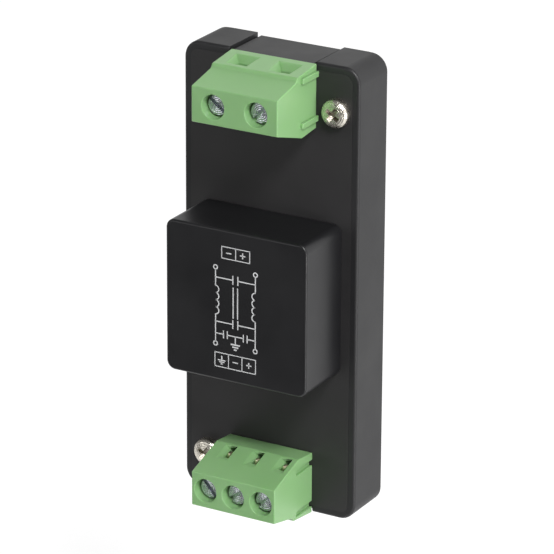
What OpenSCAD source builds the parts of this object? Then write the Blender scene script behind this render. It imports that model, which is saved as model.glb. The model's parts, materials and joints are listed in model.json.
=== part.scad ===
// Line filter for a top-hat rail: a potted filter module on a board in a moulded tray,
// with screw terminals at both ends and a sprung rail clip on the back.
// The rail's front face is the plane y = 0, its centre line is z = 0, and the front faces -Y.

/* [Base] */
// Width of the tray
base_w = 31.5; // [31:0.1:36]
// Height of the tray
base_h = 76; // [75.5:0.5:84]
// Depth of the tray, from the board's face to the tray's back
base_d = 9; // [8.4:0.1:12]
// Radius of the tray's four corners
corner_r = 2.8; // [2:0.1:4]
// Radius along the tray's front edge
edge_r = 0.5; // [0.3:0.1:0.9]
// Thickness of the rim around the board
rim_t = 1.2; // [1:0.1:1.3]
// Width of the ledge that the board lies on
ledge_w = 1; // [0.6:0.1:1.4]
// Thickness of the tray's back
floor_t = 1.5; // [1.2:0.1:2]
// How far the board stands proud of the rim
board_proud = 0.05; // [0.05:0.05:0.3]
// Width of the shallow recess in each end wall
end_recess_w = 15.6; // [12:0.1:18]
// Depth of that recess
end_recess_d = 0.4; // [0.2:0.05:0.7]
// Width and depth of the groove along each side of the recess
end_groove = 0.7; // [0.3:0.1:0.8]
// Height of the rail's centre line above the tray's centre
rail_rise = 1.2; // [0:0.1:2]

/* [Board] */
// Thickness of the circuit board
board_t = 1.6; // [1.2:0.1:2]
// Gap between the board and the rim
board_gap = 0.05; // [0.05:0.05:0.3]
// Sideways place of the row of parts on the board
layout_x = 0.25; // [-0.3:0.05:0.3]
// Distance of each board screw from the tray's side
screw_edge_x = 4.2; // [3.8:0.05:4.4]
// Distance of each board screw from the tray's end
screw_edge_z = 7.05; // [6.5:0.05:7.5]
// Diameter of a board screw's head
pan_head_d = 4.6; // [4.4:0.1:5.4]
// Height of a board screw's head
pan_head_h = 1.7; // [1.5:0.1:2.2]
// Diameter of a board screw's shank
board_screw_d = 2.6; // [2:0.1:2.9]
// Length of a board screw's shank
board_screw_l = 6.5; // [5:0.5:7]

/* [Filter module] */
// Width and height of the filter's case
case_w = 25.4; // [24.5:0.1:26.4]
// Height of the case above the board
case_d = 11.2; // [11:0.1:14]
// Radius of the case's upright corners
case_r = 1.5; // [1:0.1:3]
// Radius along the edge of the case's front face
case_edge_r = 0.4; // [0.3:0.1:0.8]
// Wall of the case
case_wall = 0.9; // [0.7:0.1:1.2]
// Height of the module's centre above the tray's centre
module_rise = -0.5; // [-1.5:0.1:1]
// Thickness of the potting that closes the case
potting_t = 1.2; // [0.8:0.1:1.5]
// Gap between the potting and the board
potting_lift = 0.3; // [0.1:0.1:0.5]
// Thickness of the board inside the case
inner_board_t = 1; // [0.8:0.1:1.2]
// Diameter of a module pin
pin_d = 1; // [0.8:0.1:1.2]
// How far a module pin and a solder pin stand out behind the board
pin_out = 1.8; // [1:0.1:2]
// Grid that the module pins stand on
pin_grid = 2.54; // [2.5:0.01:2.6]
// Distance of each row of pins from the case's side
pin_edge = 2.54; // [2.5:0.01:2.7]

/* [Choke] */
// Outside diameter of the ring core
core_od = 12.5; // [11:0.1:12.7]
// Inside diameter of the ring core
core_id = 6.5; // [6.2:0.1:7.5]
// Height of the ring core
core_h = 4.8; // [3.5:0.1:5]
// Radius on the core's corners
core_r = 0.8; // [0.5:0.1:1.2]
// Diameter of the winding wire
wire_d = 0.7; // [0.4:0.05:0.75]
// Turns in each winding
turns = 6; // [3:1:6]
// Angle that one winding covers
winding_arc = 110; // [105:1:130]

/* [Capacitors] */
// Length of a capacitor across the line
x_cap_l = 4.6; // [3.6:0.1:5]
// Height of a capacitor across the line
x_cap_h = 4.4; // [2:0.1:5]
// Length of a capacitor to earth
y_cap_l = 3.4; // [2.6:0.1:4]
// Height of a capacitor to earth
y_cap_h = 2.8; // [1.6:0.1:4]
// Width of every capacitor
cap_w = 4.2; // [3.2:0.1:4.4]

/* [Terminals] */
// Distance between the two load terminals
load_pitch = 7.62; // [7.5:0.01:7.8]
// Distance between the three line terminals
line_pitch = 5.08; // [5:0.01:5.1]
// Width of each terminal block
block_w = 15.24; // [15.2:0.01:15.9]
// Height of a terminal block above the board
block_d = 12.2; // [11.9:0.1:14]
// Distance of the load screws from the tray's end
load_clamp_edge = 5.75; // [5.6:0.05:6.4]
// Distance of the line screws from the tray's end
line_clamp_edge = 5.55; // [5.55:0.05:6.4]
// How far the load terminals stand to the right of the module
load_shift = 0.3; // [0:0.05:0.4]
// How far the line terminals stand to the right of the module
line_shift = 0.15; // [0:0.05:0.4]
// Height of a block's front face
front_h = 5.8; // [5.2:0.1:6.6]
// Reach of a block towards the module, from its screws
inner_reach = 4.9; // [4.6:0.05:5]
// Reach of a block towards the tray's end, from its screws
outer_reach = 5.55; // [5.3:0.05:5.55]
// Height of a dovetail tongue on a block's side
tongue_h = 0.45; // [0.3:0.05:0.45]
// Diameter of the hole over a clamp screw
clamp_bore_d = 4; // [3.9:0.05:4.2]
// Diameter of a clamp screw's head
clamp_head_d = 3.8; // [3.2:0.05:3.85]
// Height of a clamp screw's head
clamp_head_h = 1.6; // [1.3:0.1:1.8]
// Diameter of a clamp screw's shank
clamp_shank_d = 2.4; // [2:0.05:2.4]
// Width of the screwdriver slot
slot_w = 0.6; // [0.4:0.05:0.8]
// Depth of the screwdriver slot
slot_d = 0.9; // [0.5:0.1:1]
// Width of a clamp cage
cage_w = 3.4; // [3.2:0.05:3.45]
// Length of a clamp cage along the wire
cage_l = 3.5; // [3:0.1:3.6]
// Height of a clamp cage
cage_h = 5.8; // [5.6:0.1:5.9]
// How far a clamp cage rises as its screw is tightened
cage_travel = 1.8; // [1:0.1:1.8]
// Width of a contact bar
bar_w = 2.1; // [1.6:0.1:2.2]
// Thickness of a contact bar
bar_t = 0.7; // [0.5:0.1:0.8]

/* [Rail clip] */
// Height of the rail
rail_h = 35; // [34.6:0.1:35.2]
// Slot behind the plate that a rail edge goes into
rail_slot = 1.4; // [1.1:0.1:1.6]
// Thickness of the clip's plate, with the rail seat
clip_t = 1.6; // [1.4:0.1:2.5]
// Height of the rail seat above the plate around it
seat_t = 0.3; // [0.2:0.05:0.5]
// How far the hooks stand behind the rail's face
hook_d = 3; // [2.9:0.1:3.6]
// How far a hook reaches over the rail's edge
hook_reach = 2.4; // [1.8:0.1:2.5]
// Width of the clip
clip_w = 22; // [20:0.5:24]
// Height of the land that carries the fixed hook
hook_land = 4; // [3.5:0.1:5]
// Length of the clip below the rail, which guides the latch
guide_run = 16.5; // [16:0.1:18]
// Width of the latch
latch_w = 15.7; // [13:0.1:16]
// Outside diameter of the latch spring
spring_od = 2.5; // [2.2:0.1:2.6]
// Wire of the latch spring
spring_wire = 0.4; // [0.3:0.05:0.45]
// Length of the latch spring on the rail
spring_l = 7; // [6.5:0.1:7.5]
// Turns of the latch spring
spring_turns = 7; // [5:1:8]

/* [Hidden] */
$fn = 48;

// Colours, as the eye sees the pieces
BLACK_PLASTIC = "#34353a";
BLACK_BOARD = "#2a2b2d";
GREEN = "#7fb070";
STEEL = "#b9bab8";
BRASS = "#c9a04e";

// Overlap that keeps a cut from ending on a face
eps = 0.01;
// Play between pieces that fit into each other
play = 0.05;
// Play between pieces that slide
slide_play = 0.15;

board_face_y = -clip_t - base_d;
base_z = -rail_rise;
pocket_w = base_w - 2 * rim_t;
pocket_h = base_h - 2 * rim_t;
pocket_r = corner_r - rim_t;
well_w = pocket_w - 2 * ledge_w;
well_h = pocket_h - 2 * ledge_w;
well_r = max(pocket_r - ledge_w, 0.4);
floor_y = base_d - floor_t;
pilot_play = 0.1;
boss_wall = 1.7;
board_screw_places = [for (s = [-1, 1])
    [layout_x + s * (base_w / 2 - screw_edge_x), module_rise + s * (base_h / 2 - screw_edge_z)]];

// Clip screws: their height on the rail, shank, depth in the tray and head
clip_screw_rise = 12.5;
clip_screw_d = 2.2;
clip_screw_bite = 3.8;
clip_head_d = 4.6;
clip_head_h = 1.2;

// Places of the module pins: two towards the load, three towards the line
pin_row = case_w / 2 - pin_edge;
pin_places = [
    [-pin_grid, pin_row], [pin_grid, pin_row],
    [-2 * pin_grid, -pin_row], [0, -pin_row], [2 * pin_grid, -pin_row]];
case_inside_w = case_w - 2 * case_wall;
case_inside_r = max(case_r - case_wall, 0.3);
inner_board_y = -potting_lift - potting_t;
inner_board_top = inner_board_y - inner_board_t;

// The choke lies on the inner board on its windings
winding_gap = 0.2;
core_y = inner_board_top - play - wire_d - winding_gap - core_h / 2;
core_mid_r = (core_od + core_id) / 4;
core_half_w = (core_od - core_id) / 4;

// Capacitors stand in the case's corners: their gap to the wall, end caps and the step behind a cap
cap_gap = 0.6;
cap_end_l = 0.9;
cap_step = 0.3;

// A terminal's heights above the board, along its screw
cage_floor_u = 0.9;
cage_floor_t = 0.8;
cage_top_t = 1.1;
cage_wall = 0.5;
bar_u = cage_floor_u + cage_h - cage_top_t - 0.3 - bar_t;
chamber_top_u = cage_floor_u + cage_h + cage_travel + play;
shoulder_t = 0.6;
head_u = chamber_top_u + shoulder_t;
head_chamfer = 0.3;
shank_tip_u = bar_u + bar_t + 0.15;
chamber_w = cage_w + 2 * play;
chamber_l = cage_l + 2 * slide_play;
// The leg of a contact stands on the module's side of the cage
leg_t = 0.8;
leg_v = -chamber_l / 2 - play - leg_t;
solder_pin_w = 1;
bar_end_v = chamber_l / 2 + 0.6;
entry_w = 2.6;
entry_mouth_w = 4.4;
entry_low_u = cage_floor_u + cage_floor_t + 0.4;
entry_high_u = bar_u - play;
mouth_flare = 0.8;
mouth_depth = 1.4;
// Corners of a block's outline, from the screw's line and the board
step_u = 5.9;
step_v = 0.7;
kink_u = 4.4;
kink_v = 0.45;
// The clamp window lies in the slope: from window_start to window_end up from the kink, with a
// shaft behind it that is open towards the board
window_start = 0.2;
window_end = 5;
window_mouth_w = 3;
window_w = 1.2;
window_mouth_x = -0.2;
window_x = -0.9;
window_low_u = 4.9;
window_high_u = 6.2;
window_v = -inner_reach + 0.65;
shaft_v = -inner_reach + 0.15;
tongue_l = 5;
tongue_w = 1;
tongue_inner_v = -3.2;
tongue_outer_v = 4;

// Angles that the screwdriver slots stand at
load_slot_angles = [38, -52];
line_slot_angles = [50, -40, -38];

// Latch and its guides, up from the bottom of the clip
rail_play = 0.2;
edge_z = rail_h / 2 + rail_play;
seat_h = 2 * (edge_z - hook_reach) - rail_play;
clip_top_z = edge_z + hook_land;
clip_bottom_z = -edge_z - guide_run;
guide_top_z = -edge_z - 1.5;
guide_lip_t = 1;
guide_lip_w = 1;
guide_inside_w = latch_w + 2 * slide_play;
latch_neck_w = latch_w - 2 * guide_lip_w;
latch_bottom_z = clip_bottom_z - 2.8;
latch_slot_w = spring_od + 0.7;
latch_slot_top_z = -edge_z - 3;
spring_y = hook_d / 2;
spring_top_z = latch_slot_top_z - play;
post_top_z = spring_top_z - spring_l - play;
post_h = 1.8;
nub_d = spring_od - 2 * spring_wire - 0.3;
nub_l = 1.2;
latch_slot_bottom_z = post_top_z - post_h - slide_play;

// A rectangle with round corners, around the origin
module rounded(w, h, r) {
    square([w - 2 * r, h], center = true);
    square([w, h - 2 * r], center = true);
    for (x = [-1, 1], y = [-1, 1])
        translate([x * (w / 2 - r), y * (h / 2 - r)])
            circle(r);
}

// A flat shape drawn as seen from the front, from y_front back to y_back
module slab(y_front, y_back) {
    translate([0, y_back, 0])
        rotate([90, 0, 0])
            linear_extrude(y_back - y_front)
                children();
}

// A slab with round corners and a round edge along its front face
module soft_slab(w, h, r, y_front, y_back, edge) {
    hull()
        for (a = [0:18:90])
            let (inset = edge * (1 - cos(a)), drop = edge * (1 - sin(a)))
                slab(y_front + drop, y_back)
                    rounded(w - 2 * inset, h - 2 * inset, r - inset);
}

// A round bar or hole along Y, from height u0 to u1 above the board
module round_bar(d, u0, u1) {
    translate([0, -u0, 0])
        rotate([90, 0, 0])
            cylinder(d = d, h = u1 - u0);
}

// A box between pairs of sideways places, heights v and heights u above the board
module box(x, v, u) {
    translate([x[0], -u[1], v[0]])
        cube([x[1] - x[0], u[1] - u[0], v[1] - v[0]]);
}

// Puts a piece on the board's front face, in the middle of the tray
module on_board() {
    translate([0, board_face_y, base_z])
        children();
}

// Puts a piece in the middle of the filter module
module in_module() {
    on_board()
        translate([layout_x, 0, module_rise])
            children();
}

// Puts a piece at a terminal: side 1 is the load's end, -1 the line's end, turned half round
module at_terminal(side, x) {
    on_board()
        translate([x, 0, side * (base_h / 2 - (side > 0 ? load_clamp_edge : line_clamp_edge))])
            rotate([0, side > 0 ? 0 : 180, 0])
                children();
}

// Middles of the two blocks across the tray, and of their poles
load_mid = layout_x + load_shift;
line_mid = layout_x + line_shift;
function load_x(i) = load_mid + (i - 1.5) * load_pitch;
function line_x(i) = line_mid + (i - 2) * line_pitch;

module base_tray() {
    color(BLACK_PLASTIC)
        on_board()
            difference() {
                union() {
                    difference() {
                        soft_slab(base_w, base_h, corner_r, board_proud, base_d, edge_r);
                        slab(board_proud - eps, board_t)
                            rounded(pocket_w, pocket_h, pocket_r);
                        slab(board_t - eps, floor_y)
                            rounded(well_w, well_h, well_r);
                    }
                    for (p = board_screw_places)
                        translate([p[0], 0, p[1]])
                            round_bar(board_screw_d + 2 * boss_wall, -floor_y - eps, -board_t);
                    for (s = [-1, 1])
                        translate([0, 0, rail_rise + s * clip_screw_rise])
                            round_bar(clip_screw_d + 2 * boss_wall, -floor_y - eps, clip_screw_bite + 1.2 - base_d);
                }
                for (p = board_screw_places)
                    translate([p[0], 0, p[1]])
                        round_bar(board_screw_d + pilot_play, -board_screw_l - 0.3, -board_t + eps);
                for (s = [-1, 1])
                    translate([0, 0, rail_rise + s * clip_screw_rise])
                        round_bar(clip_screw_d + pilot_play, -base_d - eps, clip_screw_bite + 0.2 - base_d);
                for (s = [-1, 1])
                    translate([layout_x, 0, s * base_h / 2])
                        slab(-eps, base_d + eps) {
                            polygon([for (p = [[-1, 1], [-1, -1], [1, -1], [1, 1]])
                                [p[0] * (end_recess_w / 2 + s * p[1] * end_recess_d / 2), p[1] * end_recess_d]]);
                            for (t = [-1, 1])
                                translate([t * (end_recess_w - end_groove) / 2, -s * end_recess_d])
                                    square(end_groove, center = true);
                        }
            }
}

module circuit_board() {
    color(BLACK_BOARD)
        on_board()
            difference() {
                slab(0, board_t)
                    rounded(pocket_w - 2 * board_gap, pocket_h - 2 * board_gap, pocket_r - board_gap);
                for (p = board_screw_places)
                    translate([p[0], 0, p[1]])
                        round_bar(board_screw_d + 0.5, -board_t - eps, eps);
                for (p = pin_places)
                    translate([layout_x + p[0], 0, module_rise + p[1]])
                        round_bar(pin_d + 0.3, -board_t - eps, eps);
                for (i = [1:2])
                    translate([load_x(i), 0, base_h / 2 - load_clamp_edge + leg_v + leg_t / 2])
                        round_bar(solder_pin_w + 0.5, -board_t - eps, eps);
                for (i = [1:3])
                    translate([line_x(i), 0, line_clamp_edge - base_h / 2 - leg_v - leg_t / 2])
                        round_bar(solder_pin_w + 0.5, -board_t - eps, eps);
            }
}

// A cross recess, cut down from height u
module cross_recess(u, size, depth) {
    for (a = [45, 135])
        rotate([0, a, 0])
            box([-size / 2, size / 2], [-size / 8, size / 8], [u - depth, u + 1]);
}

// A pan-head screw that holds the board in the tray
module board_screw(place) {
    rim_h = 0.7;
    dome_h = pan_head_h - rim_h;
    dome_r = (pow(pan_head_d / 2, 2) + pow(dome_h, 2)) / (2 * dome_h);
    dome_angle = asin(pan_head_d / 2 / dome_r);
    color(STEEL)
        on_board()
            translate([place[0], 0, place[1]])
                difference() {
                    rotate([90, 0, 0])
                        rotate_extrude()
                            polygon(concat(
                                [[0, -board_screw_l], [board_screw_d / 2, -board_screw_l],
                                    [board_screw_d / 2, 0], [pan_head_d / 2, 0]],
                                [for (i = [0:5])
                                    let (a = dome_angle * (1 - i / 5))
                                    [dome_r * sin(a), pan_head_h - dome_r * (1 - cos(a))]]));
                    cross_recess(pan_head_h, pan_head_d * 0.6, 1.2);
                }
}

module filter_case() {
    color(BLACK_PLASTIC)
        in_module()
            difference() {
                soft_slab(case_w, case_w, case_r, -case_d, 0, case_edge_r);
                slab(-case_d + case_wall, eps)
                    rounded(case_inside_w, case_inside_w, case_inside_r);
            }
}

// A square plate inside the case with a hole for each pin
module pin_plate(y_front, y_back, hole_d) {
    in_module()
        difference() {
            slab(y_front, y_back)
                rounded(case_inside_w - 2 * play, case_inside_w - 2 * play, case_inside_r);
            for (p = pin_places)
                translate([p[0], 0, p[1]])
                    round_bar(hole_d, -y_back - eps, -y_front + eps);
        }
}

module filter_potting() {
    color("#1f1f22")
        pin_plate(inner_board_y, -potting_lift, pin_d + 2 * play);
}

module filter_board() {
    color("#2f6b45")
        pin_plate(inner_board_top, inner_board_y, pin_d + 2 * play);
}

module filter_pin(i) {
    color(STEEL)
        in_module()
            translate([pin_places[i][0], 0, pin_places[i][1]])
                round_bar(pin_d, -board_t - pin_out, -inner_board_top + 0.8);
}

module choke_core() {
    color("#3c4043")
        in_module()
            translate([0, core_y, 0])
                rotate([90, 0, 0])
                    rotate_extrude()
                        translate([core_mid_r, 0])
                            rounded(2 * core_half_w, core_h, core_r);
}

// Path of one turn around the core's section, three points to a corner. A winding starts inside
// the ring and ends outside it, and both its ends run straight down to the inner board.
winding_start = 5;
function turn_corner(k) = [k == 0 || k == 3 ? 1 : -1, k < 2 ? 1 : -1];
function turn_point(step) =
    let (
        k = floor(step / 3) % 4,
        a = 90 * k + 45 * (step % 3),
        r = core_r + winding_gap + wire_d / 2,
        c = turn_corner(k)
    )
    [c[0] * (core_half_w - core_r) + r * cos(a), c[1] * (core_h / 2 - core_r) + r * sin(a)];
// Point and outward direction at a step of a winding whose middle stands at angle mid
function winding_spot(step, mid) =
    let (
        p = turn_point(step),
        a = mid + winding_arc * (step / (12 * turns) - 0.5),
        n = p / norm(p)
    )
    [[(core_mid_r + p[0]) * cos(a), p[1], (core_mid_r + p[0]) * sin(a)], [n[0] * cos(a), n[1], n[0] * sin(a)]];

// Where a lead that comes straight down from a spot meets the inner board
function lead_foot(spot) = [[spot[0].x, inner_board_top - core_y - play, spot[0].z], spot[1]];

// A round wire swept along spots, each a point with an outward direction
module swept_wire(spots, d, sides) {
    n = len(spots);
    along = [for (i = [0:n - 1]) spots[min(i + 1, n - 1)][0] - spots[max(i - 1, 0)][0]];
    rings = [for (i = [0:n - 1])
        let (t = along[i] / norm(along[i]), raw = spots[i][1] - t * (t * spots[i][1]), out = raw / norm(raw),
            side = cross(t, out))
        for (j = [0:sides - 1])
            let (b = 360 * j / sides) spots[i][0] + d / 2 * (out * cos(b) + side * sin(b))];
    polyhedron(rings, concat(
        [[for (j = [0:sides - 1]) j]],
        [for (i = [0:n - 2], j = [0:sides - 1])
            let (a = i * sides + j, b = i * sides + (j + 1) % sides)
            each [[a, a + sides, b], [b, a + sides, b + sides]]],
        [[for (j = [0:sides - 1]) n * sides - 1 - j]]));
}

module choke_winding(mid) {
    color("#b5683a")
        in_module()
            translate([0, core_y, 0])
                swept_wire(concat(
                    [lead_foot(winding_spot(winding_start, mid))],
                    [for (s = [winding_start:12 * turns]) winding_spot(s, mid)],
                    [lead_foot(winding_spot(12 * turns, mid))]), wire_d, 6);
}

// A chip capacitor that stands in a corner of the case: h is its height, l its length
module capacitor(sx, sz, h, l, shade) {
    corner = case_inside_w / 2 - cap_gap;
    color(shade)
        in_module()
            translate([sx * (corner - cap_w / 2), inner_board_top, sz * (corner - l / 2)]) {
                box([-cap_w / 2 + cap_step, cap_w / 2 - cap_step],
                    [-l / 2 + cap_end_l - eps, l / 2 - cap_end_l + eps], [play, h - cap_step]);
                for (s = [-1, 1])
                    translate([0, 0, s * (l - cap_end_l) / 2])
                        box([-cap_w / 2, cap_w / 2], [-cap_end_l / 2, cap_end_l / 2], [0, h]);
            }
}

module line_capacitor() {
    capacitor(1, -1, x_cap_h, x_cap_l, "#8a6f4d");
}

module load_capacitor() {
    capacitor(1, 1, x_cap_h, x_cap_l, "#8a6f4d");
}

module earth_capacitor_lower() {
    capacitor(-1, -1, y_cap_h, y_cap_l, "#b08a5a");
}

module earth_capacitor_upper() {
    capacitor(-1, 1, y_cap_h, y_cap_l, "#b08a5a");
}

// A dovetail along a block's side, grown by a clearance
module dovetail(v, grow) {
    slab(-tongue_l - grow, grow)
        polygon([
            [-eps, v - tongue_w / 2 - grow + 0.1], [tongue_h + grow, v - tongue_w / 2 - grow],
            [tongue_h + grow, v + tongue_w / 2 + grow], [-eps, v + tongue_w / 2 + grow - 0.1]]);
}

// A flat shape of places v and heights u, spread sideways over a width
module across(width) {
    rotate([180, -90, 0])
        linear_extrude(width, center = true)
            children();
}

// A place on a block's slope: t up from the kink, out above the slope
function on_slope(t, out) =
    let (
        kink = [-inner_reach - kink_v, kink_u],
        run = [-front_h / 2, block_d] - kink,
        up = run / norm(run)
    )
    kink + t * up + out * [-up[1], up[0]];

// The room in a block for one pole: screw, cage, contact, wire and clamp window
module pole_room() {
    half = chamber_w / 2;
    round_bar(clamp_bore_d, head_u, block_d + eps);
    round_bar(clamp_shank_d + 0.4, chamber_top_u - eps, head_u + eps);
    box([-half, half], [-chamber_l / 2, chamber_l / 2], [-eps, chamber_top_u]);
    box([-bar_w / 2 - play, bar_w / 2 + play], [leg_v - play, 0], [-eps, bar_u + bar_t + play]);
    box([-bar_w / 2 - play, bar_w / 2 + play], [0, bar_end_v + play], [bar_u - play, bar_u + bar_t + play]);
    box([-entry_w / 2, entry_w / 2], [0, outer_reach + eps], [entry_low_u, entry_high_u]);
    hull() {
        box([-entry_w / 2, entry_w / 2], [outer_reach - mouth_depth - eps, outer_reach - mouth_depth],
            [entry_low_u, entry_high_u]);
        box([-entry_mouth_w / 2, entry_mouth_w / 2], [outer_reach, outer_reach + 0.1],
            [entry_low_u - mouth_flare, entry_high_u + mouth_flare]);
    }
    shaft_sides = [window_x - window_w / 2, window_x + window_w / 2];
    box(shaft_sides, [shaft_v, leg_v], [-eps, window_high_u]);
    hull() {
        box(shaft_sides, [window_v - eps, window_v], [window_low_u, window_high_u]);
        translate([window_mouth_x, 0, 0])
            across(window_mouth_w)
                polygon(concat(
                    [for (t = [window_start, window_end]) on_slope(t, -eps)],
                    [for (t = [window_end, window_start]) on_slope(t, 0.1)]));
    }
}

// A terminal block's moulded body, in its own place: poles is how many, pitch their spacing
module terminal_housing(poles, pitch) {
    difference() {
        union() {
            across(block_w)
                polygon([
                    [-inner_reach, 0], [-inner_reach - kink_v, kink_u], [-front_h / 2, block_d],
                    [front_h / 2, block_d], [outer_reach - 2 * step_v, step_u + 0.6],
                    [outer_reach - step_v, step_u], [outer_reach, 0]]);
            for (v = [tongue_inner_v, tongue_outer_v])
                translate([block_w / 2, 0, 0])
                    dovetail(v, 0);
        }
        for (v = [tongue_inner_v, tongue_outer_v])
            translate([-block_w / 2, 0, 0])
                dovetail(v, play);
        for (i = [1:poles])
            translate([(i - (poles + 1) / 2) * pitch, 0, 0])
                pole_room();
    }
}

module load_terminal_housing() {
    color(GREEN)
        at_terminal(1, load_mid)
            terminal_housing(2, load_pitch);
}

module line_terminal_housing() {
    color(GREEN)
        at_terminal(-1, line_mid)
            terminal_housing(3, line_pitch);
}

// A clamp screw with its slot turned to an angle
module clamp_screw(side, x, angle) {
    color(STEEL)
        at_terminal(side, x)
            difference() {
                rotate([90, 0, 0])
                    rotate_extrude()
                        polygon([
                            [0, shank_tip_u], [clamp_shank_d / 2 - 0.3, shank_tip_u],
                            [clamp_shank_d / 2, shank_tip_u + 0.3], [clamp_shank_d / 2, head_u],
                            [clamp_head_d / 2, head_u], [clamp_head_d / 2, head_u + clamp_head_h - head_chamfer],
                            [clamp_head_d / 2 - head_chamfer, head_u + clamp_head_h], [0, head_u + clamp_head_h]]);
                rotate([0, angle, 0])
                    box([-clamp_head_d, clamp_head_d], [-slot_w / 2, slot_w / 2],
                        [head_u + clamp_head_h - slot_d, head_u + clamp_head_h + slot_d]);
            }
}

// A clamp cage: a square brass loop that the screw lifts against the bar
module clamp_cage(side, x) {
    top_u = cage_floor_u + cage_h;
    inside = cage_w / 2 - cage_wall;
    color(BRASS)
        at_terminal(side, x)
            difference() {
                box([-cage_w / 2, cage_w / 2], [-cage_l / 2, cage_l / 2], [cage_floor_u, top_u]);
                box([-inside, inside], [-cage_l, cage_l], [cage_floor_u + cage_floor_t, top_u - cage_top_t]);
                round_bar(clamp_shank_d + 0.1, top_u - cage_top_t - eps, top_u + eps);
            }
}

// A contact: the bar that the wire is pressed on, its leg and its solder pin
module contact(side, x) {
    color(BRASS)
        at_terminal(side, x) {
            box([-bar_w / 2, bar_w / 2], [leg_v, bar_end_v], [bar_u, bar_u + bar_t]);
            box([-bar_w / 2, bar_w / 2], [leg_v, leg_v + leg_t], [play, bar_u + eps]);
            box([-solder_pin_w / 2, solder_pin_w / 2], [leg_v, leg_v + leg_t], [-board_t - pin_out, play + eps]);
        }
}

// Where the clip's screws go, on the rail's centre line
module at_clip_screw(s) {
    translate([0, 0, s * clip_screw_rise])
        rotate([-90, 0, 0])
            children();
}

module rail_clip() {
    color(BLACK_PLASTIC)
        difference() {
            union() {
                translate([-clip_w / 2, -clip_t, clip_bottom_z])
                    cube([clip_w, clip_t - seat_t, clip_top_z - clip_bottom_z]);
                translate([-clip_w / 2, -seat_t - eps, -seat_h / 2])
                    cube([clip_w, seat_t + eps, seat_h]);
                rotate([90, 0, 90])
                    linear_extrude(clip_w, center = true)
                        polygon([
                            [-seat_t - eps, clip_top_z], [-seat_t - eps, edge_z], [rail_slot, edge_z],
                            [rail_slot + 0.3, edge_z - hook_reach], [hook_d - 0.6, edge_z - hook_reach],
                            [hook_d, edge_z - hook_reach + 0.8], [hook_d, clip_top_z - 1.2],
                            [hook_d - 1.2, clip_top_z]]);
                for (s = [-1, 1]) {
                    guide_w = (clip_w - guide_inside_w) / 2;
                    translate([s * (clip_w - guide_w) / 2 - guide_w / 2, -seat_t - eps, clip_bottom_z])
                        cube([guide_w, hook_d + seat_t + eps, guide_top_z - clip_bottom_z]);
                    lip_x = guide_inside_w / 2 - guide_lip_w / 2 + eps;
                    translate([s * lip_x - guide_lip_w / 2, hook_d - guide_lip_t, clip_bottom_z])
                        cube([guide_lip_w, guide_lip_t, guide_top_z - clip_bottom_z]);
                }
                translate([-spring_od / 2, -seat_t - eps, post_top_z - post_h])
                    cube([spring_od, hook_d + seat_t - 0.2, post_h]);
                translate([0, spring_y, post_top_z - eps])
                    cylinder(d = nub_d, h = nub_l);
            }
            for (s = [-1, 1])
                at_clip_screw(s) {
                    translate([0, 0, -clip_t - eps])
                        cylinder(d = clip_screw_d + 0.3, h = clip_t + 1);
                    translate([0, 0, -clip_head_h])
                        cylinder(d1 = clip_screw_d + 0.3, d2 = clip_head_d + 0.2, h = clip_head_h + eps);
                }
        }
}

// A countersunk screw that holds the clip on the tray, with its head just under the rail's face
module clip_screw(s) {
    color(STEEL)
        at_clip_screw(s)
            difference() {
                union() {
                    translate([0, 0, -clip_head_h])
                        cylinder(d1 = clip_screw_d, d2 = clip_head_d, h = clip_head_h - play);
                    translate([0, 0, -clip_t - clip_screw_bite])
                        cylinder(d = clip_screw_d, h = clip_t + clip_screw_bite - clip_head_h + eps);
                }
                for (a = [45, 135])
                    rotate([0, 0, a])
                        translate([-clip_head_d * 0.28, -clip_head_d / 16, -0.8])
                            cube([clip_head_d * 0.56, clip_head_d / 8, 1]);
            }
}

// The latch under the rail: nose, flanges in the guides, a slot for its spring and a pull tab
module rail_latch() {
    tab_slot_w = 5;
    tab_slot_h = 1.5;
    front_y = slide_play - seat_t;
    flange_back_y = hook_d - guide_lip_t - slide_play;
    color("#3d3e42")
        difference() {
            union() {
                translate([-latch_w / 2, front_y, clip_bottom_z])
                    cube([latch_w, flange_back_y - front_y, -edge_z - clip_bottom_z]);
                translate([-latch_neck_w / 2 + slide_play, front_y, latch_bottom_z])
                    cube([latch_neck_w - 2 * slide_play, hook_d - front_y, -edge_z - latch_bottom_z]);
                rotate([90, 0, 90])
                    linear_extrude(latch_neck_w - 2 * slide_play, center = true)
                        polygon([
                            [rail_slot, -edge_z - eps], [rail_slot + 0.2, -edge_z + hook_reach],
                            [rail_slot + 0.5, -edge_z + hook_reach], [hook_d, -edge_z + hook_reach - 1.2],
                            [hook_d, -edge_z - eps]]);
            }
            translate([-latch_slot_w / 2, -hook_d / 2, latch_slot_bottom_z])
                cube([latch_slot_w, 2 * hook_d, latch_slot_top_z - latch_slot_bottom_z]);
            translate([-tab_slot_w / 2, -hook_d / 2, latch_bottom_z + 0.9])
                cube([tab_slot_w, 2 * hook_d, tab_slot_h]);
        }
    color("#3d3e42")
        translate([0, spring_y, latch_slot_top_z - nub_l])
            cylinder(d = nub_d, h = nub_l + eps);
}

module latch_spring() {
    r = (spring_od - spring_wire) / 2;
    steps = 12 * spring_turns;
    rise = spring_l - spring_wire;
    color(STEEL)
        translate([0, spring_y, spring_top_z - spring_l + spring_wire / 2])
            swept_wire([for (i = [0:steps])
                let (a = 30 * i) [[r * cos(a), r * sin(a), rise * i / steps], [cos(a), sin(a), 0]]], spring_wire, 6);
}

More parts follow.
